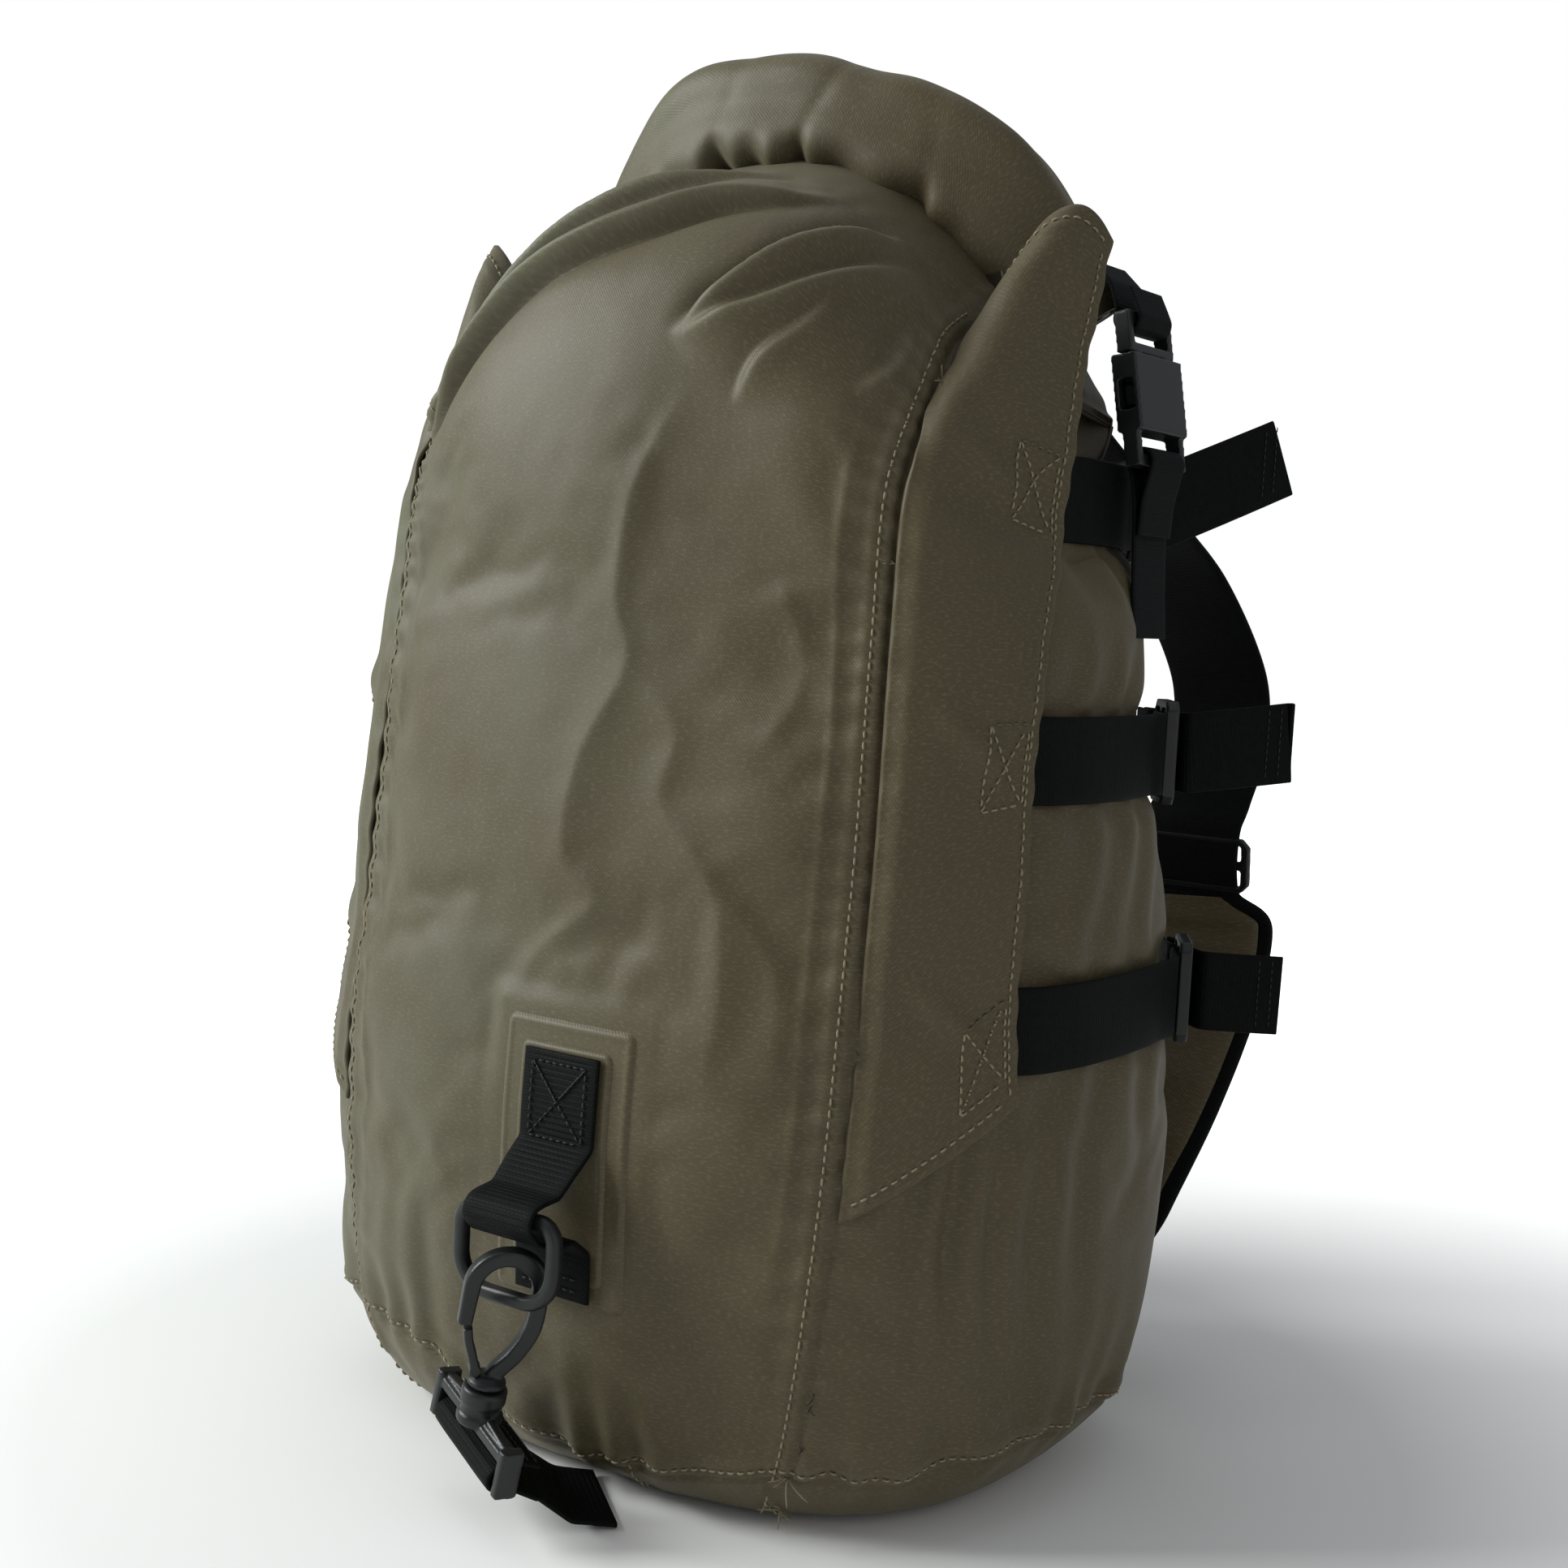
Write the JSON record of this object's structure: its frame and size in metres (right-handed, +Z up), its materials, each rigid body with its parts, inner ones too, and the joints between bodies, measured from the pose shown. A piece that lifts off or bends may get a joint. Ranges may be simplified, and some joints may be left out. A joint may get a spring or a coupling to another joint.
{
  "type": "roll-top stuff sack with carrying straps",
  "caption": "Roll-top fabric sack with buckled collar, side compression straps, shoulder straps and a swivel-hook sling clipped to a front ring.",
  "frame": {"origin": "centre of the flat bottom, on the floor plane", "axes": "+Z up through the rolled top, front panel towards -Y, the wearer's side towards +Y"},
  "size_m": [0.3134, 0.3127, 0.4419],
  "materials": {
    "fabric": "coated ripstop-free plain-weave nylon, satin",
    "patch": "welded coated nylon, embossed",
    "webbing": "ribbed nylon webbing",
    "plastic": "moulded acetal, satin",
    "stiffener": "polyethylene strip"
  },
  "bodies": {
    "sack": {"front_panel": "fabric", "back_panel": "fabric", "side_panel_right": "fabric", "side_panel_left": "fabric", "bottom_panel": "fabric", "roll_top_collar": "fabric", "collar_stiffener": "stiffener", "compression_wing_right": "fabric", "compression_wing_left": "fabric", "compression_strap_top_right": "webbing", "compression_strap_top_left": "webbing", "compression_strap_middle_right": "webbing", "compression_strap_middle_left": "webbing", "compression_strap_bottom_right": "webbing", "compression_strap_bottom_left": "webbing", "lock_anchor_top_right": "webbing", "lock_anchor_top_left": "webbing", "lock_anchor_middle_right": "webbing", "lock_anchor_middle_left": "webbing", "lock_anchor_bottom_right": "webbing", "lock_anchor_bottom_left": "webbing", "collar_tab_right": "webbing", "collar_tab_left": "webbing", "buckle_plug_right": "plastic", "buckle_plug_left": "plastic", "buckle_anchor_web_right": "webbing", "buckle_anchor_web_left": "webbing", "patch_backing": "patch", "patch_cover": "patch", "front_loop": "webbing", "sling_web": "webbing", "shoulder_web_right": "webbing", "shoulder_web_left": "webbing", "strap_slider_right": "plastic", "strap_slider_left": "plastic", "shoulder_pad_right": "fabric", "shoulder_pad_left": "fabric"},
    "ring": {"oval_ring": "plastic"},
    "hook_base": {"swivel_base": "plastic"},
    "hook": {"snap_hook": "plastic"},
    "gate": {"snap_gate": "plastic"},
    "socket_right": {"buckle_socket_right": "plastic"},
    "lock_top_right": {"ladder_lock_top_right": "plastic"},
    "lock_middle_right": {"ladder_lock_middle_right": "plastic"},
    "lock_bottom_right": {"ladder_lock_bottom_right": "plastic"},
    "socket_left": {"buckle_socket_left": "plastic"},
    "lock_top_left": {"ladder_lock_top_left": "plastic"},
    "lock_middle_left": {"ladder_lock_middle_left": "plastic"},
    "lock_bottom_left": {"ladder_lock_bottom_left": "plastic"}
  },
  "joints": [
    {"name": "sling_swing", "type": "hinge", "parent": "sack", "child": "hook_base", "pos_m": [0.012, -0.1255, 0.091], "axis": [-1, 0, 0], "range_deg": [-4, 18], "deforming": ["sling_web"]},
    {"name": "ring_swing", "type": "hinge", "parent": "sack", "child": "ring", "pos_m": [0.012, -0.1255, 0.091], "axis": [-1, 0, 0], "range_deg": [-4, 18]},
    {"name": "hook_swivel", "type": "hinge", "parent": "hook_base", "child": "hook", "pos_m": [0.0075, -0.127, 0.041], "axis": [0.2079, 0, 0.9781], "range_deg": [-3, 40]},
    {"name": "gate_open", "type": "hinge", "parent": "hook", "child": "gate", "pos_m": [0.00586, -0.13021, 0.04603], "axis": [-0.7493, 0.6428, 0.1593], "range_deg": [0, 24], "stiffness_Nm_per_rad": 0.02, "springref_deg": -11.46},
    {"name": "buckle_release_right", "type": "slide", "parent": "sack", "child": "socket_right", "axis": [0.1736, 0, -0.9848], "range_m": [0, 0.024], "deforming": ["buckle_anchor_web_right"]},
    {"name": "buckle_release_left", "type": "slide", "parent": "sack", "child": "socket_left", "axis": [-0.1736, 0, -0.9848], "range_m": [0, 0.024], "deforming": ["buckle_anchor_web_left"]},
    {"name": "lock_tilt_top_right", "type": "hinge", "parent": "sack", "child": "lock_top_right", "pos_m": [0.09402, 0.05851, 0.3], "axis": [0, 0, 1], "range_deg": [0, 32], "deforming": ["compression_strap_top_right"]},
    {"name": "lock_tilt_middle_right", "type": "hinge", "parent": "sack", "child": "lock_middle_right", "pos_m": [0.11606, 0.0562, 0.226], "axis": [0, 0, 1], "range_deg": [0, 32], "deforming": ["compression_strap_middle_right"]},
    {"name": "lock_tilt_bottom_right", "type": "hinge", "parent": "sack", "child": "lock_bottom_right", "pos_m": [0.12373, 0.06641, 0.151], "axis": [0, 0, 1], "range_deg": [0, 32], "deforming": ["compression_strap_bottom_right"]},
    {"name": "lock_tilt_top_left", "type": "hinge", "parent": "sack", "child": "lock_top_left", "pos_m": [-0.09402, 0.05851, 0.3], "axis": [0, 0, -1], "range_deg": [0, 32], "deforming": ["compression_strap_top_left"]},
    {"name": "lock_tilt_middle_left", "type": "hinge", "parent": "sack", "child": "lock_middle_left", "pos_m": [-0.11606, 0.0562, 0.226], "axis": [0, 0, -1], "range_deg": [0, 32], "deforming": ["compression_strap_middle_left"]},
    {"name": "lock_tilt_bottom_left", "type": "hinge", "parent": "sack", "child": "lock_bottom_left", "pos_m": [-0.12373, 0.06641, 0.151], "axis": [0, 0, -1], "range_deg": [0, 32], "deforming": ["compression_strap_bottom_left"]}
  ],
  "couplings": [
    {"joint": "ring_swing", "follows": "sling_swing", "ratio": 1}
  ]
}
